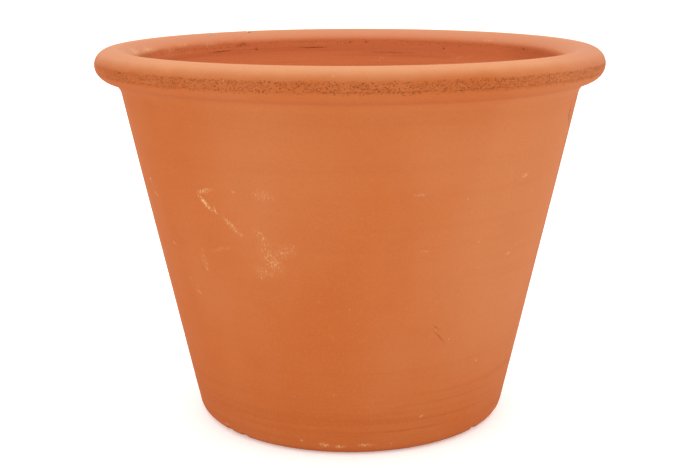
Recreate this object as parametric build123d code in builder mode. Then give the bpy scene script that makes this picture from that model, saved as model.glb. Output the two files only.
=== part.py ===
from build123d import *
import os
from math import cos, radians, sin, tan

# Flowerpot with a rolled rim, in millimetres. It is one piece of fired clay, so it is one solid: the
# profile of half its section, turned once about the upright axis. The origin is on that axis, at the
# level of the foot ring that the pot stands on, and +Z is up.

# Overall size
RIM_DIAMETER = 350.0
HEIGHT = 260.0

# Wall: a straight taper. The radius is where its outer face would reach the ground, the lean is in
# degrees from upright, and the thickness is measured level.
FOOT_RADIUS = 108.5
WALL_LEAN = 12.05
WALL_THICKNESS = 12.0

# Rolled rim: how far the roll reaches from the ring at its middle, and how many degrees below its
# widest place it gives way to the cove that joins it to the wall
ROLL_OUT = 11.5
ROLL_UP = 10.5
ROLL_END = 77.0

# Floor, with a shallow dish under it so that the pot stands on a ring
FLOOR_TOP = 15.0
FOOT_EDGE_RADIUS = 10.0
INNER_CORNER_RADIUS = 14.0
DISH_RADIUS = 86.0
DISH_DEPTH = 2.0
DISH_SLOPE = 6.0

# Drain hole in the middle of the floor, with its sharp edges worn round
DRAIN_DIAMETER = 26.0
DRAIN_EDGE_RADIUS = 1.5

# Places on the profile, as (radius, height)
roll_radius = RIM_DIAMETER / 2 - ROLL_OUT
roll_height = HEIGHT - ROLL_UP
drain_radius = DRAIN_DIAMETER / 2
lean = radians(WALL_LEAN)
end = radians(ROLL_END)
taper = tan(lean)


def inner_radius(height):
    """Radius of the wall's inner face at this height."""
    return FOOT_RADIUS + taper * height - WALL_THICKNESS


# The cove under the roll and the lip inside it each join two straight directions. They take the same
# length from both, so an arc that starts along one of them ends along the other.
roll_under = (roll_radius + ROLL_OUT * cos(end), roll_height - ROLL_OUT * sin(end))
cove_reach = (roll_under[0] - FOOT_RADIUS - taper * roll_under[1]) / (sin(end) - taper * cos(end))
cove_corner = (roll_under[0] - cove_reach * sin(end), roll_under[1] - cove_reach * cos(end))
cove_start = (cove_corner[0] - cove_reach * sin(lean), cove_corner[1] - cove_reach * cos(lean))
lip_reach = roll_radius - inner_radius(HEIGHT)
lip_end = (inner_radius(HEIGHT) - lip_reach * sin(lean), HEIGHT - lip_reach * cos(lean))

roll_top = (roll_radius, HEIGHT)
foot_corner = (FOOT_RADIUS, 0)
inner_corner = (inner_radius(FLOOR_TOP), FLOOR_TOP)
drain_top = (drain_radius, FLOOR_TOP)
drain_bottom = (drain_radius, DISH_DEPTH)


def nearest(vertices, place):
    """The vertex of the profile that lies at a place."""
    return vertices.sort_by_distance((place[0], place[1], 0))[0]


# Pot
with BuildPart() as pot:
    with BuildSketch(Plane.XZ) as section:
        with BuildLine():
            Polyline(
                drain_bottom,
                (DISH_RADIUS - DISH_SLOPE, DISH_DEPTH),
                (DISH_RADIUS, 0),
                foot_corner,
                cove_start,
            )
            TangentArc(cove_start, roll_under, tangent=(sin(lean), cos(lean)))
            CenterArc((roll_radius, roll_height), ROLL_OUT, -ROLL_END, ROLL_END)
            EllipticalCenterArc((roll_radius, roll_height), ROLL_OUT, ROLL_UP, 0, arc_size=90)
            TangentArc(roll_top, lip_end, tangent=(-1, 0))
            Polyline(lip_end, inner_corner, drain_top, drain_bottom)
        make_face()
        fillet(nearest(section.vertices(), foot_corner), FOOT_EDGE_RADIUS)
        fillet(nearest(section.vertices(), inner_corner), INNER_CORNER_RADIUS)
        fillet(nearest(section.vertices(), drain_top), DRAIN_EDGE_RADIUS)
        fillet(nearest(section.vertices(), drain_bottom), DRAIN_EDGE_RADIUS)
    revolve(axis=Axis.Z)
pot.part.label = "pot"

os.makedirs("parts", exist_ok=True)
export_step(pot.part, "parts/pot.step")
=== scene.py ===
import math
from functools import partial

import bpy
import numpy as np
from bpy.props import FloatProperty, FloatVectorProperty, IntProperty, PointerProperty
from mathutils import Euler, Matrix, Quaternion, Vector, kdtree, noise


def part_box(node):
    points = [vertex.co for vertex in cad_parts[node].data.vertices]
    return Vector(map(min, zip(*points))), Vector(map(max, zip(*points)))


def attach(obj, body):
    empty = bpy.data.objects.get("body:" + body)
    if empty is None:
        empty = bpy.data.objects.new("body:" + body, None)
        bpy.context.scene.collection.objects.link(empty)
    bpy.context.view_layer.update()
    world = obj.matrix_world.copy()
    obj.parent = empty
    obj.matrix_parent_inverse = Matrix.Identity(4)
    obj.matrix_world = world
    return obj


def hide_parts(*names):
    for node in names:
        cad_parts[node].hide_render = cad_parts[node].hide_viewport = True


bl_info = {
    "name": "Terracotta flowerpot",
    "version": (1, 0, 0),
    "blender": (4, 5, 0),
    "location": "View3D > Sidebar > Flowerpot",
    "description": "Turns a rolled-rim flowerpot in unglazed terracotta and sets it in soft light",
    "category": "Add Mesh",
}

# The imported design. It gives the height, the width and the place of the pot, all in metres.
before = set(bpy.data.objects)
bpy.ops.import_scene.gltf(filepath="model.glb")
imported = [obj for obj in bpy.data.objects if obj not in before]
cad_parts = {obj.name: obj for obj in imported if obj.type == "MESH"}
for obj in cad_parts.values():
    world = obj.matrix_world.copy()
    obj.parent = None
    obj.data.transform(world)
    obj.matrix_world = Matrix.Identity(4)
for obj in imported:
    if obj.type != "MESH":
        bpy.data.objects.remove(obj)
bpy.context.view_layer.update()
POT_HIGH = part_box("pot")[1]
RIM_RADIUS = POT_HIGH[0]
HEIGHT = POT_HIGH[2]

MM = 0.001

# The pitted band on the roll, in degrees below and above the roll's widest place, and how many degrees
# lower it runs at the sides than at the front
BAND_BELOW = 18
BAND_ABOVE = 14
BAND_DROP = 9

# The pits in that band: how many are tried, the seed of their places, their smallest and largest radius, and
# the radius at which one would have its full depth, in millimetres. All are smaller than that, and the smaller
# ones are shallower. They gather in clusters, so some tries are left out.
PIT_COUNT = 7500
PIT_SEED = 7
PIT_RADII = (0.2, 0.46)
FULL_PIT_RADIUS = 0.6
PIT_CLUSTER = 9 * MM

# The torn pores drawn between the pits: the first number sets how many are open in the band, the second is
# the share of that in the line inside, under the lip
BAND_PORES = 1.35
LIP_PORES = 0.35

# How many times each face is cut across where the mesh carries pits, chips or other marks, and how far beyond
# a mark's edge that reaches
BAND_CUTS = 6
CHIP_CUTS = 2
MARK_CUTS = 3
MARK_MARGIN = 2.5 * MM

# Corners below this height move less and less the lower they are, so that the pot still stands flat
STEADY_HEIGHT = 6 * MM

# Marks on the pot, each as: angle, height, length, width, tilt, strength. The angle is in degrees round
# the pot: 0 is the front, at -Y, 90 the right, at +X, and 180 the back. Height, length and width are in
# millimetres. The tilt is in degrees, and a tilted mark falls towards rising angles.

# Chips knocked out of the foot and the rim. Their strength is their usual depth in millimetres; the broken
# clay is rough, so it varies by about a third.
CHIPS = (
    (-51, 2.5, 9, 7, 0, 1.8), (-43, 2, 10, 6, 0, 1.8), (52, 2.5, 9, 7, 0, 1.6), (69, 3, 14, 6, 0, 1.6),
    (171, 5, 10, 5, 0, 0.9), (-150, 260, 3, 3, 0, 0.9),
)

# Dried lime that splashed and was scraped along the clay
LIME_OUTSIDE = (
    (-38, 179, 20, 4.5, -14, 0.7), (-38.5, 171, 18, 4.5, 42, 0.85), (-35.5, 167, 8, 2.5, 75, 0.8),
    (-31, 158, 20, 5, 42, 0.6), (-28.5, 153, 5, 2, 80, 0.75), (-29, 181, 5, 1.8, 80, 0.55),
    (-21, 180, 20, 9, 5, 0.4), (-23, 154, 17, 7, 50, 0.4), (-21.5, 142, 26, 16, 75, 0.38),
    (-20, 136, 22, 13, 60, 0.48), (-16.5, 144, 22, 12, -25, 0.4), (-23, 130, 24, 9, 10, 0.38),
    (-24, 126, 6, 5, 0, 0.5), (-43, 130, 24, 8, 80, 0.38), (-36, 141, 26, 4, -15, 0.34),
    (-64, 177, 6, 2.5, 45, 0.8), (-62, 168, 8, 1.8, 30, 0.8), (-57, 136, 9, 1.8, 25, 0.75),
    (-52, 114, 5, 1.8, 20, 0.6), (-49, 110, 4, 1.8, 20, 0.6), (-49, 106, 10, 1.8, 20, 0.75),
    (48, 185, 12, 4.5, -12, 0.52), (16.5, 181, 10, 1.8, -5, 0.75), (48, 133, 5.5, 2, -25, 0.95),
    (19, 144, 9, 1.6, 0, 0.45), (36, 128, 5, 1.6, 0, 0.45), (60, 180, 3, 2, 0, 0.55),
    (60.5, 162, 3, 2, 0, 0.5), (43, 59, 3, 2, 0, 0.6), (24, 26, 6, 2, -12, 0.6), (-5, 46, 4, 2, 0, 0.5),
    (-9, 8, 11, 5, 5, 0.62), (-4, 7, 12, 4, 0, 0.62), (5, 8, 16, 4, 0, 0.62), (-17, 10, 5, 2.5, 0, 0.6),
    (-51, 7, 8, 3, -10, 0.5), (-43, 5, 9, 2.5, 0, 0.45),
    (150, 160, 26, 6, 35, 0.5),
    (-128, 110, 20, 10, 60, 0.45), (110, 60, 16, 3, 20, 0.5),
)
LIME_INSIDE = (
    (-92, 255, 26, 9, 0, 0.6), (-103, 254, 36, 6, 0, 0.65), (-115, 250, 24, 11, 0, 0.5),
    (-122, 254, 20, 5, 0, 0.45), (-133, 252, 20, 5, 0, 0.5),
    (134, 254, 14, 3, 0, 0.5), (170, 237, 10, 2, 30, 0.7), (144, 240, 10, 2, 28, 0.7),
    (-124, 248, 9, 4, 0, 0.45), (20, 120, 24, 9, 30, 0.5),
)

# Scratches outside, and the holes and scars that stones left inside when they dragged through the wet clay
SCARS_OUTSIDE = ((68, 219, 13, 3.5, 82, 0.75), (70, 214, 8, 3, 70, 0.7))
SCARS_INSIDE = (
    (-145, 250, 14, 4, 0, 0.3), (-150, 246, 5, 2.2, 0, 0.5), (180, 250, 2.6, 2.2, 0, 0.7),
    (175, 250, 2.4, 2, 0, 0.7), (149.5, 246, 2.4, 2.2, 0, 0.8), (118, 250, 6, 2.2, 0, 0.6),
)

# Thin scores, too fine for the mesh, so the clay's material draws them
SCORES_OUTSIDE = ((25, 90.5, 10, 1.2, 38, 0.42), (26.5, 83.5, 24, 1.3, 47, 0.48))
SCORES_INSIDE = (
    (-137, 246, 27, 1.4, 2, 1.0), (-168, 246, 32, 1.4, 0, 1.0), (167, 242, 58, 1.2, 0, 0.5),
)

# Large soft paler patches: mostly painted light where the softboxes light the wall and the roll's right end,
# painted sheen on the inner lip on the left, and in part clay that dried paler
PAINTED_LIGHT_AND_BLOOM_OUTSIDE = (
    (36, 229, 110, 28, 0, 0.3), (52, 175, 200, 330, 0, 0.75), (30, 205, 130, 120, 0, 0.5),
    (80, 243, 160, 46, 0, 0.9), (-20, 195, 120, 190, 0, 0.45), (85, 175, 200, 330, 0, 0.35),
    (-160, 120, 120, 150, 0, 0.6),
)
PAINTED_LIGHT_AND_BLOOM_INSIDE = ((-92, 254, 70, 26, 0, 1.2), (60, 120, 120, 90, 0, 0.5))

# Painted shade: a large soft darker, redder patch inside, under the lip on the right
UNDER_LIP_SHADE_INSIDE = ((112, 250, 90, 30, 0, 0.9),)

# Painted shade: where the roll's upper face is darker at its left and right ends
RIM_END_SHADE_OUTSIDE = ((-74, 262, 200, 32, 0, 0.6), (74, 262, 200, 32, 0, 1.0))

# Where the roll's band has been smoothed over, so that it has no pits
SMOOTHED_OUTSIDE = ((-95, 247, 190, 60, 0, 1.5),)


def srgb(code):
    """Turns an sRGB hex colour into linear red, green, blue and alpha."""
    parts = [int(code[i:i + 2], 16) / 255 for i in (1, 3, 5)]
    return [p / 12.92 if p <= 0.04045 else ((p + 0.055) / 1.055) ** 2.4 for p in parts] + [1.0]


def length(name, description, default):
    """A size that the user can change, in metres."""
    return FloatProperty(name=name, description=description, default=default, unit="LENGTH", precision=4)


def angle(name, description, degrees):
    """An angle that the user can change."""
    return FloatProperty(name=name, description=description, default=math.radians(degrees), subtype="ANGLE")


def colour(name, description, code):
    """A colour that the user can change."""
    return FloatVectorProperty(
        name=name, description=description, default=srgb(code)[:3], size=3, subtype="COLOR", min=0, max=1
    )


def share(name, description, default):
    """A share, from 0 to 1, that the user can change."""
    return FloatProperty(name=name, description=description, default=default, min=0, max=1)


def power(name, description, watts):
    """The power of a lamp that the user can change."""
    return FloatProperty(name=name, description=description, default=watts, min=0, subtype="POWER")


class FlowerpotShape(bpy.types.PropertyGroup):
    """The section of the pot. Its rim radius and height come from the design."""

    foot_radius: length("Foot radius", "Where the wall's outer face would reach the ground", 108.5 * MM)
    lean: angle("Lean", "Slope of the wall from upright", 12.05)
    wall: length("Wall", "Thickness of the wall, measured level", 12 * MM)
    roll_out: length("Roll out", "How far the rolled rim reaches out and down from its middle", 11.5 * MM)
    roll_up: length("Roll up", "How far the rolled rim reaches up from its middle", 10.5 * MM)
    lip_dome: length("Lip dome", "Rounding of the rim's top, inwards from the roll's middle", 20.6 * MM)
    lip_turn: angle("Lip turn", "How far the dome turns down before the rim's inner edge", 43)
    lip_edge: length("Lip edge", "Rounding of the rim's inner edge", 4.7 * MM)
    roll_end: angle("Roll end", "How far below its widest place the roll gives way to the cove", 77)
    foot_edge: length("Foot edge", "Rounding of the outer bottom edge", 10 * MM)
    floor_top: length("Floor top", "Height of the floor's upper face", 15 * MM)
    inner_corner: length("Inner corner", "Rounding between floor and wall", 14 * MM)
    dish_radius: length("Dish radius", "Inner radius of the ring that the pot stands on", 86 * MM)
    dish_depth: length("Dish depth", "Depth of the hollow under the floor", 2 * MM)
    dish_slope: length("Dish slope", "Width of the slope from the ring to the hollow", 6 * MM)
    drain_radius: length("Drain radius", "Radius of the hole in the floor", 13 * MM)
    drain_edge: length("Drain edge", "Rounding of the drain hole's edges", 1.5 * MM)
    belly: length("Belly", "How far the wall bulges halfway up", 0.35 * MM)
    rim_lift: length("Rim lift", "How much higher the rim stands at the front, left of the middle", 0.5 * MM)
    rim_dip: length("Rim dip", "How much lower the rim stands on the left", 0.4 * MM)
    roll_tuck: length("Roll tuck", "How much the roll's underside is tucked up, more on the left", 0.35 * MM)
    unevenness: length("Unevenness", "How far the hand-turned wall strays from round", 0.2 * MM)
    ring_depth: length("Ring depth", "Depth of the rings that turning left on the wall", 0.05 * MM)
    pit_depth: length("Pit depth", "Depth that a pit in the roll has at its full radius", 0.5 * MM)
    scar_depth: length("Scar depth", "Depth of a scar or a hole at its full strength", 0.4 * MM)
    columns: IntProperty(name="Columns", description="Faces round the pot", default=216, min=96, max=224)


class FlowerpotFinish(bpy.types.PropertyGroup):
    """The clay, its colours, the marks of making and use, and the painted light and shade."""

    clay: colour("Clay", "The fired clay of the wall", "#AC5B2B")
    # Pale clay also paints the patches of painted light and sheen
    pale_clay: colour("Pale clay", "Where the clay dried and fired paler", "#B8754C")
    # Red clay also darkens the wall towards the foot, and paints the shade under the roll and, inside, under
    # the lip on the right
    red_clay: colour("Red clay", "Redder clay, in turning lines and near the foot", "#A04D21")
    # Partly painted highlight: the roll's upper face is painted paler for the light from above, as well as for
    # the rubbed clay
    burnish_and_highlight: colour("Burnish", "The rubbed upper face of the roll", "#CA8C62")
    # Painted shade: this colour darkens the rim's inward slope and the upper face of the roll's ends
    painted_rim_shade: colour("Weathered", "The rim's inward slope, browner from weather", "#A35C4C")
    # Painted light: the inside is painted brighter than the wall outside, to make up for the light it lacks
    # inside the pot
    inside: colour("Inside", "The inside, fired a little brighter", "#D07648")
    # Painted shade: this dark colour fills the pits, pores, scores and scars on top of their relief, and also
    # darkens the foot's bottom edge
    pit: colour("Pit", "The bottom of pits and scores", "#86390F")
    lime: colour("Lime", "Dried lime", "#DAB17F")
    matt: share("Matt", "Roughness of the bare clay", 0.9)
    rubbed: share("Rubbed", "Roughness of the rubbed roll", 0.72)
    gloss: share("Gloss", "How much light the clay's surface mirrors", 0.12)


class FlowerpotStage(bpy.types.PropertyGroup):
    """The floor, the lamps and the camera."""

    floor: colour("Floor", "Pale floor and background", "#FAFAF8")
    glow: FloatProperty(name="Glow", description="Light that comes up through the white floor", default=0.3)
    surround: FloatProperty(name="Surround", description="Brightness of the white surround", default=1.25)
    above: power("Above", "Power of the softbox overhead", 5)
    left: power("Left", "Power of the softbox on the left", 1.6)
    right: power("Right", "Power of the softbox on the right", 1.8)
    camera_distance: length("Camera distance", "From the pot's axis to the camera, measured level", 875 * MM)
    camera_height: length("Camera height", "Height of the camera above the floor", 328.5 * MM)
    camera_pitch: angle("Camera pitch", "How far the camera looks down", 13.12)
    camera_turn: angle("Camera turn", "How far the camera looks to the left", 0.018)
    camera_roll: angle("Camera roll", "How far the camera leans to one side", -0.19)
    lens: FloatProperty(
        name="Lens", description="Focal length in millimetres", default=64.2, subtype="DISTANCE_CAMERA"
    )


# Shape


def arc(centre, across, up, start, end, steps):
    """Corners along a stretch of an ellipse, as (radius, height), from one angle in degrees to another."""
    turns = [math.radians(start + (end - start) * i / steps) for i in range(steps + 1)]
    return [(centre[0] + across * math.cos(t), centre[1] + up * math.sin(t)) for t in turns]


def stretch(start, end, spacing):
    """Evenly spaced corners strictly between two places."""
    steps = max(1, round(math.dist(start, end) / spacing))
    return [
        (start[0] + (end[0] - start[0]) * i / steps, start[1] + (end[1] - start[1]) * i / steps)
        for i in range(1, steps)
    ]


def wall_radius(shape, height, inside=False):
    """Radius of the wall's face at a height."""
    return shape.foot_radius + math.tan(shape.lean) * height - (shape.wall if inside else 0)


def roll_middle(shape):
    """The middle of the rolled rim, as (radius, height)."""
    return RIM_RADIUS - shape.roll_out, HEIGHT - shape.roll_up


def outline(shape):
    """The closed section of the pot as (radius, height) corners.

    It runs along the underside, up the wall, over the roll and the lip, and down the inside to the floor.
    """
    lean = math.degrees(shape.lean)
    half_turn = math.tan(math.radians(90 - lean) / 2)
    roll = roll_middle(shape)
    roll_end = math.degrees(shape.roll_end)

    # The cove's arc touches the roll where the roll ends, and it touches the wall.
    under = arc(roll, shape.roll_out, shape.roll_out, -roll_end, -roll_end, 1)[0]
    reach = (under[0] - wall_radius(shape, under[1])) / (
        math.sin(shape.roll_end) - math.tan(shape.lean) * math.cos(shape.roll_end)
    )
    cove_radius = reach / math.tan((shape.roll_end - shape.lean) / 2)
    cove_middle = (
        under[0] + cove_radius * math.cos(shape.roll_end), under[1] - cove_radius * math.sin(shape.roll_end)
    )
    inner_foot = wall_radius(shape, shape.floor_top, inside=True)
    drain_ease = shape.drain_radius + shape.drain_edge

    underside = arc(
        (drain_ease, shape.dish_depth + shape.drain_edge), shape.drain_edge, shape.drain_edge, 180, 270, 4
    )
    dish = (shape.dish_radius - shape.dish_slope, shape.dish_depth)
    ring = (shape.dish_radius, 0)
    foot_edge = arc(
        (shape.foot_radius - shape.foot_edge * half_turn, shape.foot_edge),
        shape.foot_edge, shape.foot_edge, -90, -lean, 9,
    )
    cove = arc(cove_middle, cove_radius, cove_radius, 180 - lean, 180 - roll_end, 6)
    roll_under = arc(roll, shape.roll_out, shape.roll_out, -roll_end, 0, 8)
    roll_over = arc(roll, shape.roll_out, shape.roll_up, 0, 90, 10)

    # Inwards, the rim's top is a dome, then a tighter edge, from which the face drops straight to the wall.
    lip_turn = 90 + math.degrees(shape.lip_turn)
    dome = arc((roll[0], HEIGHT - shape.lip_dome), shape.lip_dome, shape.lip_dome, 90, lip_turn, 6)
    edge_middle = (
        dome[-1][0] + shape.lip_edge * math.sin(shape.lip_turn),
        dome[-1][1] - shape.lip_edge * math.cos(shape.lip_turn),
    )
    lip = dome[:-1] + arc(edge_middle, shape.lip_edge, shape.lip_edge, lip_turn, 180, 5)
    lip_end = (lip[-1][0], (lip[-1][0] - wall_radius(shape, 0, inside=True)) / math.tan(shape.lean))

    inner_corner = arc(
        (inner_foot - shape.inner_corner * half_turn, shape.floor_top + shape.inner_corner),
        shape.inner_corner, shape.inner_corner, -lean, -90, 8,
    )
    drain_top = arc(
        (drain_ease, shape.floor_top - shape.drain_edge), shape.drain_edge, shape.drain_edge, 90, 180, 4
    )

    return (
        underside
        + stretch(underside[-1], dish, 16 * MM) + [dish, ring] + stretch(ring, foot_edge[0], 5 * MM)
        + foot_edge + stretch(foot_edge[-1], cove[0], 3.4 * MM) + cove[:-1]
        + roll_under + roll_over[1:]
        + lip[1:] + stretch(lip[-1], lip_end, 3 * MM) + [lip_end] + stretch(lip_end, inner_corner[0], 5 * MM)
        + inner_corner + stretch(inner_corner[-1], drain_top[0], 12 * MM)
        + drain_top + stretch(drain_top[-1], underside[0], 5 * MM)
    )


def turn_outline(name, corners, columns):
    """Draws a closed outline corner by corner in the X-Z plane and spins it round the upright axis."""
    bpy.ops.object.select_all(action="DESELECT")
    start = corners[0]
    bpy.ops.mesh.primitive_plane_add(size=MM, location=(start[0], 0, start[1]))
    piece = bpy.context.object
    piece.name = name
    piece.data.name = name
    bpy.ops.object.transform_apply(location=True)
    bpy.ops.object.mode_set(mode="EDIT")
    bpy.ops.mesh.select_all(action="SELECT")
    bpy.ops.mesh.merge(type="CENTER")
    for here, there in zip(corners, corners[1:] + corners[:1]):
        step = (there[0] - here[0], 0, there[1] - here[1])
        bpy.ops.mesh.extrude_region_move(TRANSFORM_OT_translate={"value": step})
    bpy.ops.mesh.select_all(action="SELECT")
    bpy.ops.mesh.remove_doubles(threshold=0.01 * MM)
    bpy.ops.mesh.spin(steps=columns, angle=math.tau, center=(0, 0, 0), axis=(0, 0, 1))
    bpy.ops.mesh.select_all(action="SELECT")
    bpy.ops.mesh.remove_doubles(threshold=0.01 * MM)
    bpy.ops.mesh.normals_make_consistent(inside=False)
    bpy.ops.mesh.select_all(action="DESELECT")
    bpy.ops.object.mode_set(mode="OBJECT")
    return piece


class Places:
    """Where a mesh's corners, or its faces' middles, lie round the pot, as arrays."""

    def __init__(self, items, vector, shape):
        flat = np.empty(len(items) * 3)
        items.foreach_get(vector, flat)
        self.at = flat.reshape(-1, 3)
        self.radius = np.hypot(self.at[:, 0], self.at[:, 1])
        self.angle = np.arctan2(self.at[:, 0], -self.at[:, 1])
        self.height = self.at[:, 2]
        self.outward = np.column_stack([np.sin(self.angle), -np.cos(self.angle), np.zeros(len(items))])
        roll_radius, roll_height = roll_middle(shape)
        drop = BAND_DROP * (1 - np.cos(self.angle))
        low = roll_height - shape.roll_out * np.sin(np.radians(BAND_BELOW + drop))
        high = roll_height + shape.roll_up * np.sin(np.radians(BAND_ABOVE - drop))
        self.in_band = (self.height > low) & (self.height < high) & (self.radius > roll_radius)
        under_roll = roll_height - shape.roll_out * math.sin(shape.roll_end)
        self.on_roll = (self.height > under_roll) & (self.radius > roll_radius)
        middle_of_wall = shape.foot_radius - shape.wall / 2 + math.tan(shape.lean) * self.height
        foot_round = shape.foot_edge * np.clip(1 - self.height / shape.foot_edge, 0, 1)
        self.outside = self.radius > middle_of_wall - foot_round
        self.lift = np.clip(self.height / STEADY_HEIGHT, 0, 1)

    def near(self, mark, outside, margin=0):
        """How near each place is to a mark's middle, on one side of the wall: 1 there, 0 past its edge."""
        angle, height, long, wide, tilt, _ = mark
        apart = np.angle(np.exp(1j * (self.angle - math.radians(angle)))) * self.radius
        rise = self.height - height * MM
        turn = math.radians(tilt)
        along = (apart * math.cos(turn) - rise * math.sin(turn)) / (long / 2 * MM + margin)
        across = (apart * math.sin(turn) + rise * math.cos(turn)) / (wide / 2 * MM + margin)
        return np.where(self.outside == outside, np.clip(1 - along**2 - across**2, 0, 1), 0)

    def covered(self, *sides):
        """How far each place is covered by any mark, given marks outside the wall and then inside it."""
        covers = [
            mark[-1] * self.near(mark, outside)
            for marks, outside in zip(sides, (True, False))
            for mark in marks
        ]
        return np.max(covers, axis=0)


def refine(piece, chosen, cuts):
    """Divides the chosen faces of a piece finely enough to carry small relief."""
    piece.data.polygons.foreach_set("select", chosen)
    bpy.ops.object.mode_set(mode="EDIT")
    bpy.ops.mesh.subdivide(number_cuts=cuts)
    bpy.ops.mesh.select_all(action="DESELECT")
    bpy.ops.object.mode_set(mode="OBJECT")


def shape_by_hand(piece, shape):
    """Gives the turned wall what a wheel, hands and use leave: unevenness, rings, chips, pits and marks.

    Each kind of mark is also kept as an attribute of the mesh, from which the clay takes its colour, and so
    are the patches of painted light and shade.
    """
    mesh = piece.data
    spots = Places(mesh.vertices, "co", shape)
    turn, height, radius = spots.angle, spots.height, spots.radius
    roll_radius, roll_height = roll_middle(shape)

    # The roll's new corners lie on flat faces, so they go back onto its round.
    reach = np.where(height > roll_height, shape.roll_up, shape.roll_out)
    bulge = np.sqrt(np.clip(1 - ((height - roll_height) / reach) ** 2, 0, 1))
    radius = np.where(spots.on_roll, roll_radius + shape.roll_out * bulge, radius)

    # Uneven patterns, with the sizes of their lumps in millimetres: level and upwards
    rings, throwing, slow, rough = (
        np.array([noise.noise(Vector((p[0] / across, p[1] / across, p[2] / up))) for p in spots.at])
        for across, up in ((110 * MM, 9 * MM), (200 * MM, 13 * MM), (70 * MM, 70 * MM), (2.5 * MM, 2.5 * MM))
    )

    # Where each change to the wall takes hold, and how far it moves a corner outwards
    up_wall = np.clip(height / HEIGHT, 0, 1)
    below_roll = np.clip((roll_height - shape.roll_out - height) / (8 * MM), 0, 1)
    near_foot = np.clip(1 - (height - 20 * MM) / (60 * MM), 0, 1)
    on_wall = below_roll * spots.lift
    shift = shape.unevenness * (np.sin(2 * turn) + 0.4 * np.cos(3 * turn)) * up_wall
    shift = shift + shape.unevenness * slow * spots.lift
    shift = shift + shape.belly * 4 * up_wall * (1 - up_wall)
    ringed = np.where(spots.outside, rings * (1 + near_foot), throwing * 5)
    shift = shift + shape.ring_depth * on_wall * ringed
    shift = np.where(radius > shape.dish_radius, shift, 0)

    # How far the rim stands high or low, and how far the roll's underside is tucked up
    rise = 0
    for amount, middle, sharpness in ((shape.rim_lift, -12, 3), (-shape.rim_dip, -100, 6)):
        rise = rise + amount * ((1 + np.cos(turn - math.radians(middle))) / 2) ** sharpness * up_wall
    under_roll = np.clip((roll_height - height) / (8 * MM), 0, 1)
    under_roll = under_roll * np.clip((height - 222 * MM) / (12 * MM), 0, 1)
    rise = rise + shape.roll_tuck * (1 - np.sin(turn) / 2) * under_roll * spots.outside

    at = spots.outward * (radius + shift)[:, None]
    at[:, 2] = height + rise
    write_places(mesh, at)

    # Marks, pits and chips go in along the face's own direction.
    normals = np.empty(len(at) * 3)
    mesh.vertices.foreach_get("normal", normals)
    normals = normals.reshape(-1, 3)
    chipped = sum(chip[-1] * MM * spots.near(chip, True) for chip in CHIPS)
    # Some of these are painted light and shade: the pale patches in part, the shade at the roll's ends, and
    # the shade under the lip inside
    marks = {
        "smoothed": np.clip(spots.covered(SMOOTHED_OUTSIDE), 0, 1),
        "lime": spots.covered(LIME_OUTSIDE, LIME_INSIDE),
        "scars": spots.covered(SCARS_OUTSIDE, SCARS_INSIDE),
        "painted_light_and_bloom": spots.covered(PAINTED_LIGHT_AND_BLOOM_OUTSIDE, PAINTED_LIGHT_AND_BLOOM_INSIDE) ** 1.5,
        "under_lip_shade": spots.covered((), UNDER_LIP_SHADE_INSIDE),
        "worn": spots.covered(RIM_END_SHADE_OUTSIDE),
    }
    marks["pits"] = press_pits(at, spots) * (1 - marks["smoothed"])
    depth = chipped * (0.8 + 0.8 * rough)
    depth = depth + marks["pits"] * shape.pit_depth + marks["scars"] * shape.scar_depth
    write_places(mesh, at - normals * depth[:, None])
    for name, values in marks.items():
        mesh.attributes.new(name, "FLOAT", "POINT").data.foreach_set("value", values)


def write_places(mesh, places):
    """Moves the mesh's corners to an array of x, y, z."""
    mesh.vertices.foreach_set("co", places.ravel())
    mesh.update()


def press_pits(at, spots):
    """How deep each corner lies in the small pits of the band, 0 to 1."""
    chosen = np.flatnonzero(spots.in_band)
    tree = kdtree.KDTree(len(chosen))
    for index in chosen:
        tree.insert(at[index], int(index))
    tree.balance()
    low, high = at[chosen, 2].min(), at[chosen, 2].max()
    dice = np.random.default_rng(PIT_SEED)
    depth = np.zeros(len(at))
    for _ in range(PIT_COUNT):
        turn = dice.uniform(-math.pi, math.pi)
        height = dice.uniform(low, high)
        width = dice.uniform(*PIT_RADII) * MM
        gap = noise.noise(Vector((math.sin(turn) * 9, math.cos(turn) * 9, height / PIT_CLUSTER)))
        if gap < dice.uniform(-0.5, 0.2):
            continue
        middle = Vector((math.sin(turn), -math.cos(turn), 0)) * RIM_RADIUS
        middle.z = height
        nearest = tree.find(middle)[0]
        for place, index, distance in tree.find_range(nearest, width):
            depth[index] = max(depth[index], (1 - (distance / width) ** 2) * width / (FULL_PIT_RADIUS * MM))
    return depth


# Material


def add_node(tree, kind, inputs=None, **settings):
    """Adds a node with its settings, and fills its inputs, which are named or numbered.

    An input is given a value, another node's output, or a node, which stands for its first output.
    """
    made = tree.nodes.new(kind)
    for name, value in settings.items():
        setattr(made, name, value)
    for name, value in (inputs or {}).items():
        if isinstance(value, bpy.types.Node):
            value = value.outputs[0]
        if isinstance(value, bpy.types.NodeSocket):
            tree.links.new(value, made.inputs[name])
        else:
            made.inputs[name].default_value = value
    return made


def window(add, value, rise, fall):
    """1 between two ranges over which a value fades in and fades out, and 0 beyond them."""
    sides = [
        add(
            "ShaderNodeMapRange",
            {"Value": value, "From Min": low, "From Max": high, "To Min": start, "To Max": 1 - start},
            interpolation_type="SMOOTHSTEP",
        )
        for low, high, start in ((*rise, 0.0), (*fall, 1.0))
    ]
    return add("ShaderNodeMath", {0: sides[0], 1: sides[1]}, operation="MULTIPLY")


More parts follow.
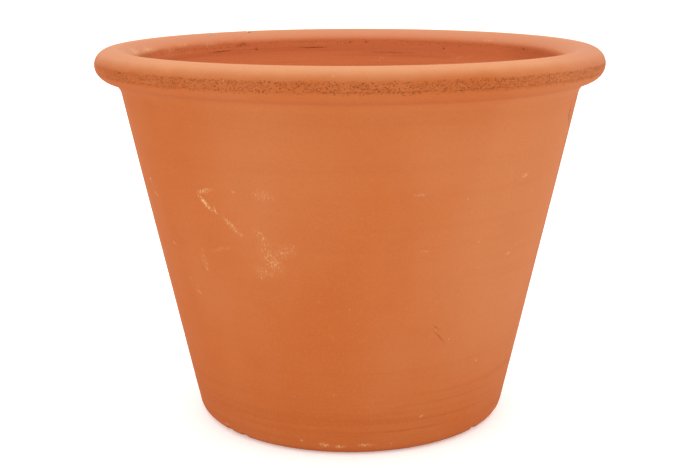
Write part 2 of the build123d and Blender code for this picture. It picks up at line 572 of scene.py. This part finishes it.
def cover_of(add, place, shape, marks, inside, covered=0.0):
    """How far a place is covered by thin marks: the strength in a mark's middle, 0 from its edge on."""
    for turn, height, long, wide, tilt, strength in marks:
        turn = math.radians(turn)
        radius = wall_radius(shape, height * MM, inside)
        local = add(
            "ShaderNodeMapping",
            {
                "Vector": place,
                "Location": (radius * math.sin(turn), -radius * math.cos(turn), height * MM),
                "Rotation": (0, math.radians(tilt), turn),
                "Scale": (long / 2 * MM, 8 * MM, wide / 2 * MM),
            },
            vector_type="TEXTURE",
        )
        away = add("ShaderNodeVectorMath", {0: local}, operation="LENGTH").outputs["Value"]
        near = add("ShaderNodeMapRange", {"Value": away, "To Min": strength, "To Max": 0.0})
        covered = add("ShaderNodeMath", {0: covered, 1: near}, operation="MAXIMUM")
    return covered


def terracotta(shape, finish):
    """Unglazed terracotta: iron-rich clay, turned, rubbed smooth on the roll, air dried and fired once.

    The body is matt and open-pored, cloudy from uneven drying and firing, with level turning lines,
    sand grains, pits torn open along the roll, and flecks of dried lime from use.
    """
    # Some of the colour is painted light and shade: a highlight on the roll's upper face, pale patches of
    # light, a brighter inside, and shade under the roll, on the rim's inward slope, at the roll's ends, under
    # the lip inside and in the pits, pores, scores and scars.
    material = bpy.data.materials.new("unglazed_terracotta")
    material.use_nodes = True
    tree = material.node_tree
    tree.nodes.clear()
    add = partial(add_node, tree)
    place = add("ShaderNodeTexCoord").outputs["Object"]

    # Uneven patterns, with the sizes of their lumps in millimetres: along X, along Y and upwards. The grains
    # and flecks of real clay are a few tenths of a millimetre; here they are as coarse as they need to be to
    # show on the whole pot.
    uneven = {}
    for name, size, detail in (
        ("cloud", (90, 90, 160), 2.0),
        ("blotch", (24, 24, 16), 3.0),
        ("broad_line", (240, 240, 5), 2.0),
        ("fine_line", (120, 120, 1.4), 3.0),
        ("patch", (16, 16, 8), 1.0),
        ("grain", (1.5, 1.5, 1.5), 2.0),
        ("fleck", (0.9, 0.9, 1.7), 3.0),
    ):
        scaled = add("ShaderNodeMapping", {"Vector": place, "Scale": [1 / (s * MM) for s in size]})
        uneven[name] = add("ShaderNodeTexNoise", {"Vector": scaled, "Scale": 1.0, "Detail": detail})

    # Scattered dots, one to a cell of the given size in millimetres: how far a place is from the dot, and the
    # cell's dice. Real pores are finer too; these are drawn as coarse as they need to be to show.
    dots = {}
    for name, size in (("pore", 1.1), ("speck", 9)):
        cells = add("ShaderNodeTexVoronoi", {"Vector": place, "Scale": 1 / (size * MM)})
        dots[name] = (cells.outputs["Distance"], add("ShaderNodeSeparateColor", {0: cells.outputs["Color"]}))

    # Where a place lies: its height, its distance from the axis and its direction from the roll's middle,
    # with a slight waver. The band runs lower at the sides and lowest at the back, as does the rubbed face.
    roll_radius, roll_height = roll_middle(shape)
    height = add("ShaderNodeSeparateXYZ", {0: place}).outputs["Z"]
    level = add("ShaderNodeVectorMath", {0: place, 1: (1, 1, 0)}, operation="MULTIPLY")
    radius = add("ShaderNodeVectorMath", {0: level}, operation="LENGTH").outputs["Value"]
    above = add("ShaderNodeMath", {0: height, 1: roll_height}, operation="SUBTRACT")
    beyond = add("ShaderNodeMath", {0: radius, 1: roll_radius}, operation="SUBTRACT")
    around = add("ShaderNodeMath", {0: above, 1: beyond}, operation="ARCTAN2")
    waver = add("ShaderNodeMapRange", {"Value": uneven["patch"], "To Min": -0.1, "To Max": 0.1})
    around = add("ShaderNodeMath", {0: around, 1: waver}, operation="ADD")
    sideways = add("ShaderNodeVectorMath", {0: place, 1: (0, 1 / RIM_RADIUS, 0)}, operation="DOT_PRODUCT")
    sideways = add("ShaderNodeMath", {0: sideways.outputs["Value"], 1: 1.0}, operation="ADD")
    lowered = add(
        "ShaderNodeMath", {0: sideways, 1: math.radians(BAND_DROP), 2: around}, operation="MULTIPLY_ADD"
    )
    # The rubbed face, which also carries a painted highlight; painted shade on the rim's inward slope; the
    # pitted band; and painted shade under the roll, down to the cove
    rubbed, painted_rim_shade, band, under = (
        window(add, direction, [math.radians(a) for a in rise], [math.radians(a) for a in fall])
        for direction, rise, fall in (
            (lowered, (12, 62), (158, 192)),
            (around, (92, 125), (150, 178)),
            (lowered, (-30, -14), (12, 21)),
            (around, (-100, -80), (-35, 2)),
        )
    )
    smoothed = add("ShaderNodeAttribute", attribute_name="smoothed").outputs["Fac"]
    smoothed = add("ShaderNodeMath", {0: band, 1: smoothed}, operation="MULTIPLY")
    band = add("ShaderNodeMath", {0: band, 1: smoothed}, operation="SUBTRACT")

    # Which side of the wall's middle a place is on, above the floor; the line under the lip; and the foot
    slope = add(
        "ShaderNodeMath",
        {0: height, 1: -math.tan(shape.lean), 2: shape.wall / 2 - shape.foot_radius},
        operation="MULTIPLY_ADD",
    )
    inner = add("ShaderNodeMath", {0: radius, 1: slope}, operation="ADD")
    inner = add("ShaderNodeMapRange", {"Value": inner, "From Min": MM, "From Max": -MM})
    over_floor = add("ShaderNodeMapRange", {"Value": height, "From Min": 3 * MM, "From Max": 12 * MM})
    inner = add("ShaderNodeMath", {0: inner, 1: over_floor}, operation="MULTIPLY")
    lip = window(add, height, (247 * MM, 249.5 * MM), (251 * MM, 253 * MM))
    lip = add("ShaderNodeMath", {0: lip, 1: inner}, operation="MULTIPLY")
    near_foot = window(add, height, (-2 * MM, -1 * MM), (10 * MM, 75 * MM))
    foot_edge = window(add, height, (-2 * MM, -1 * MM), (1 * MM, 7 * MM))

    # Pores torn open: in the band, and fewer in a line inside under the lip, both in uneven patches
    crowd = add("ShaderNodeMath", {0: lip, 1: LIP_PORES}, operation="MULTIPLY")
    crowd = add("ShaderNodeMath", {0: crowd, 1: band}, operation="MAXIMUM")
    crowd = add("ShaderNodeMath", {0: crowd, 1: uneven["patch"]}, operation="MULTIPLY")
    crowd = add("ShaderNodeMath", {0: crowd, 1: BAND_PORES}, operation="MULTIPLY")
    distance, dice = dots["pore"]
    open_ = add("ShaderNodeMath", {0: dice, 1: crowd}, operation="LESS_THAN")
    pore = add("ShaderNodeMapRange", {"Value": distance, "From Min": 0.38, "From Max": 0.2})
    pores = add("ShaderNodeMath", {0: pore, 1: open_}, operation="MULTIPLY")
    pits = add("ShaderNodeAttribute", attribute_name="pits").outputs["Fac"]

    # Marks painted on the mesh, and the patches of painted light and shade. Lime and scars are ragged: they
    # hold on the high places of a fine pattern, more so in their middles.
    painted = {
        name: add("ShaderNodeAttribute", attribute_name=name).outputs["Fac"]
        for name in ("lime", "scars", "painted_light_and_bloom", "under_lip_shade", "worn")
    }
    # Painted shade on the rim: its inward slope, and the roll's upper face at the ends
    painted_rim_shade = add("ShaderNodeMath", {0: painted_rim_shade, 1: painted["worn"]}, operation="MAXIMUM")
    scores = cover_of(add, place, shape, SCORES_OUTSIDE, inside=False)
    scores = cover_of(add, place, shape, SCORES_INSIDE, inside=True, covered=scores)
    painted["scars"] = add("ShaderNodeMath", {0: painted["scars"], 1: scores}, operation="MAXIMUM")
    ragged = {}
    for name, grip, first, last, thin in (("lime", 0.3, 0.62, 0.82, 0.12), ("scars", 0.42, 0.56, 0.72, 0.6)):
        laid = add(
            "ShaderNodeMath", {0: painted[name], 1: grip, 2: uneven["fleck"]}, operation="MULTIPLY_ADD"
        )
        laid = add("ShaderNodeMapRange", {"Value": laid, "From Min": first, "From Max": last})
        thick = add("ShaderNodeMapRange", {"Value": painted[name], "From Max": 0.9, "To Min": thin})
        held = add("ShaderNodeMapRange", {"Value": painted[name], "From Max": 0.12, "To Max": thick})
        ragged[name] = add("ShaderNodeMath", {0: laid, 1: held}, operation="MULTIPLY")
    distance, dice = dots["speck"]
    lone = add("ShaderNodeMath", {0: dice, 1: 0.92}, operation="GREATER_THAN")
    speck = add("ShaderNodeMapRange", {"Value": distance, "From Min": 0.07, "From Max": 0.03})
    specks = add("ShaderNodeMath", {0: speck, 1: lone}, operation="MULTIPLY")

    # The lines left by turning show most near the foot, less inside and least elsewhere.
    lined = add("ShaderNodeMath", {0: inner, 1: 0.45}, operation="MULTIPLY")
    lined = add("ShaderNodeMath", {0: lined, 1: near_foot}, operation="MAXIMUM")
    lines_cover = add("ShaderNodeMapRange", {"Value": lined, "To Min": 0.06, "To Max": 0.5})

    # Colour, laid on in layers: a pattern, the values where it starts and is full, its cover, its colour
    shade = (*finish.clay, 1.0)
    for pattern, start, full, cover, tint in (
        (uneven["cloud"], 0.42, 0.68, 0.25, finish.pale_clay),
        (uneven["blotch"], 0.5, 0.75, 0.12, finish.red_clay),
        # Painted light: the inside, painted brighter
        (inner, 0.0, 1.0, 0.9, finish.inside),
        # Painted light and sheen, and in part paler clay: the large soft patches
        (painted["painted_light_and_bloom"], 0.0, 0.46, 0.5, finish.pale_clay),
        # Painted shade inside, under the lip on the right
        (painted["under_lip_shade"], 0.0, 1.0, 0.35, finish.red_clay),
        (near_foot, 0.0, 1.0, 0.08, finish.red_clay),
        (uneven["broad_line"], 0.5, 0.72, lines_cover, finish.red_clay),
        (uneven["fine_line"], 0.52, 0.8, lines_cover, finish.red_clay),
        # Rubbed clay and painted highlight on the roll's upper face and the rim's top
        (rubbed, 0.0, 1.0, 0.85, finish.burnish_and_highlight),
        # Painted shade on the rim's inward slope and the roll's ends
        (painted_rim_shade, 0.0, 1.0, 0.33, finish.painted_rim_shade),
        # Painted shade under the roll and in the cove
        (under, 0.0, 1.0, 0.25, finish.red_clay),
        (band, 0.0, 1.0, 0.3, finish.red_clay),
        (uneven["grain"], 0.56, 0.8, 0.25, finish.pale_clay),
        (uneven["grain"], 0.44, 0.2, 0.25, finish.red_clay),
        # Darker at the foot's bottom edge
        (foot_edge, 0.0, 1.0, 0.2, finish.pit),
        # Painted shade in the pits, pores, scores and scars, on top of their relief
        (pits, 0.0, 1.0, 0.4, finish.pit),
        (pores, 0.0, 1.0, 0.58, finish.pit),
        (ragged["scars"], 0.0, 1.0, 0.55, finish.pit),
        (specks, 0.0, 1.0, 0.4, finish.lime),
        (painted["lime"], 0.0, 0.8, 0.05, finish.lime),
        (ragged["lime"], 0.0, 1.0, 0.8, finish.lime),
    ):
        mask = add(
            "ShaderNodeMapRange", {"Value": pattern, "From Min": start, "From Max": full, "To Max": cover}
        )
        shade = add("ShaderNodeMix", {0: mask, 6: shade, 7: (*tint, 1.0)}, data_type="RGBA").outputs[2]

    # Fine relief, in millimetres
    relief = 0.0
    for pattern, deep in (
        (uneven["grain"], 0.025), (uneven["fine_line"], 0.06), (uneven["broad_line"], 0.06),
        (pores, -0.4), (ragged["scars"], -0.4), (ragged["lime"], 0.05),
    ):
        relief = add("ShaderNodeMath", {0: pattern, 1: deep, 2: relief}, operation="MULTIPLY_ADD")
    bump = add("ShaderNodeBump", {"Height": relief, "Distance": MM})

    roughness = add("ShaderNodeMapRange", {"Value": rubbed, "To Min": finish.matt, "To Max": finish.rubbed})
    surface = add(
        "ShaderNodeBsdfPrincipled",
        {
            "Base Color": shade, "Roughness": roughness, "Normal": bump, "IOR": 1.5,
            "Specular IOR Level": finish.gloss,
        },
    )
    add("ShaderNodeOutputMaterial", {"Surface": surface})
    return material


class FLOWERPOT_OT_turn_pot(bpy.types.Operator):
    """Turn the pot, shape it by hand and fire it in terracotta"""

    bl_idname = "flowerpot.turn_pot"
    bl_label = "Turn pot"

    def execute(self, context):
        shape = context.scene.flowerpot_shape
        finish = context.scene.flowerpot_finish
        pot = turn_outline("terracotta_pot", outline(shape), shape.columns)
        refine(pot, Places(pot.data.polygons, "center", shape).in_band, BAND_CUTS)
        for marks, outside, cuts in (
            (CHIPS, True, CHIP_CUTS), (LIME_OUTSIDE, True, MARK_CUTS), (SCARS_OUTSIDE, True, MARK_CUTS),
            (LIME_INSIDE, False, MARK_CUTS), (SCARS_INSIDE, False, MARK_CUTS),
        ):
            faces = Places(pot.data.polygons, "center", shape)
            refine(pot, sum(faces.near(mark, outside, MARK_MARGIN) for mark in marks) > 0, cuts)
        shape_by_hand(pot, shape)
        bpy.ops.object.shade_smooth()
        pot.data.materials.append(terracotta(shape, finish))
        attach(pot, "root")
        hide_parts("pot")
        return {"FINISHED"}


# Stage


class FLOWERPOT_OT_set_stage(bpy.types.Operator):
    """Lay the pale floor, hang the softboxes and place the camera"""

    bl_idname = "flowerpot.set_stage"
    bl_label = "Set stage"

    def execute(self, context):
        stage = context.scene.flowerpot_stage
        bpy.ops.object.select_all(action="DESELECT")
        bpy.ops.mesh.primitive_plane_add(size=24, location=(0, 0, 0))
        floor = context.object
        floor.name = "floor"
        paper = bpy.data.materials.new("matt_white_paper")
        paper.use_nodes = True
        paper.node_tree.nodes.clear()
        sheet = add_node(
            paper.node_tree, "ShaderNodeBsdfPrincipled",
            {
                "Base Color": (*stage.floor, 1.0), "Roughness": 0.9,
                "Emission Color": (*stage.floor, 1.0), "Emission Strength": stage.glow,
            },
        )
        add_node(paper.node_tree, "ShaderNodeOutputMaterial", {"Surface": sheet})
        floor.data.materials.append(paper)

        world = bpy.data.worlds.new("white_surround")
        world.use_nodes = True
        world.node_tree.nodes["Background"].inputs["Color"].default_value = (1, 1, 1, 1)
        world.node_tree.nodes["Background"].inputs["Strength"].default_value = stage.surround
        context.scene.world = world
        context.scene.view_settings.view_transform = "Standard"

        for name, place, width, tall, power in (
            ("overhead_softbox", (0, 0.1, 1.5), 1.2, 1.2, stage.above),
            ("left_softbox", (-1.3, -0.9, 0.6), 0.7, 1.2, stage.left),
            ("right_softbox", (1.4, -0.5, 0.6), 0.7, 1.2, stage.right),
        ):
            aim = (Vector((0, 0, HEIGHT / 2)) - Vector(place)).to_track_quat("-Z", "Y").to_euler()
            bpy.ops.object.light_add(type="AREA", location=place, rotation=aim)
            lamp = context.object
            lamp.name = name
            lamp.data.shape = "RECTANGLE"
            lamp.data.size = width
            lamp.data.size_y = tall
            lamp.data.energy = power

        aim = Quaternion((0, 0, 1), stage.camera_turn)
        aim = aim @ Euler((math.pi / 2 - stage.camera_pitch, 0, 0)).to_quaternion()
        aim = aim @ Quaternion((0, 0, 1), stage.camera_roll)
        bpy.ops.object.camera_add(
            location=(0, -stage.camera_distance, stage.camera_height), rotation=aim.to_euler()
        )
        camera = context.object
        camera.data.lens = stage.lens
        camera.data.sensor_width = 36
        context.scene.camera = camera
        return {"FINISHED"}


class FLOWERPOT_PT_panel(bpy.types.Panel):
    """Sizes, colours and the steps of making the pot"""

    bl_label = "Flowerpot"
    bl_idname = "FLOWERPOT_PT_panel"
    bl_space_type = "VIEW_3D"
    bl_region_type = "UI"
    bl_category = "Flowerpot"

    def draw(self, context):
        layout = self.layout
        for group in ("flowerpot_shape", "flowerpot_finish", "flowerpot_stage"):
            settings = getattr(context.scene, group)
            box = layout.box()
            for name in settings.__annotations__:
                box.prop(settings, name)
        layout.operator("flowerpot.turn_pot")
        layout.operator("flowerpot.set_stage")


CLASSES = (
    FlowerpotShape, FlowerpotFinish, FlowerpotStage,
    FLOWERPOT_OT_turn_pot, FLOWERPOT_OT_set_stage, FLOWERPOT_PT_panel,
)


def register():
    for kind in CLASSES:
        bpy.utils.register_class(kind)
    bpy.types.Scene.flowerpot_shape = PointerProperty(type=FlowerpotShape)
    bpy.types.Scene.flowerpot_finish = PointerProperty(type=FlowerpotFinish)
    bpy.types.Scene.flowerpot_stage = PointerProperty(type=FlowerpotStage)


def unregister():
    for group in ("flowerpot_shape", "flowerpot_finish", "flowerpot_stage"):
        delattr(bpy.types.Scene, group)
    for kind in reversed(CLASSES):
        bpy.utils.unregister_class(kind)


def main():
    register()
    bpy.ops.flowerpot.turn_pot()
    bpy.ops.flowerpot.set_stage()


if __name__ == "__main__":
    main()
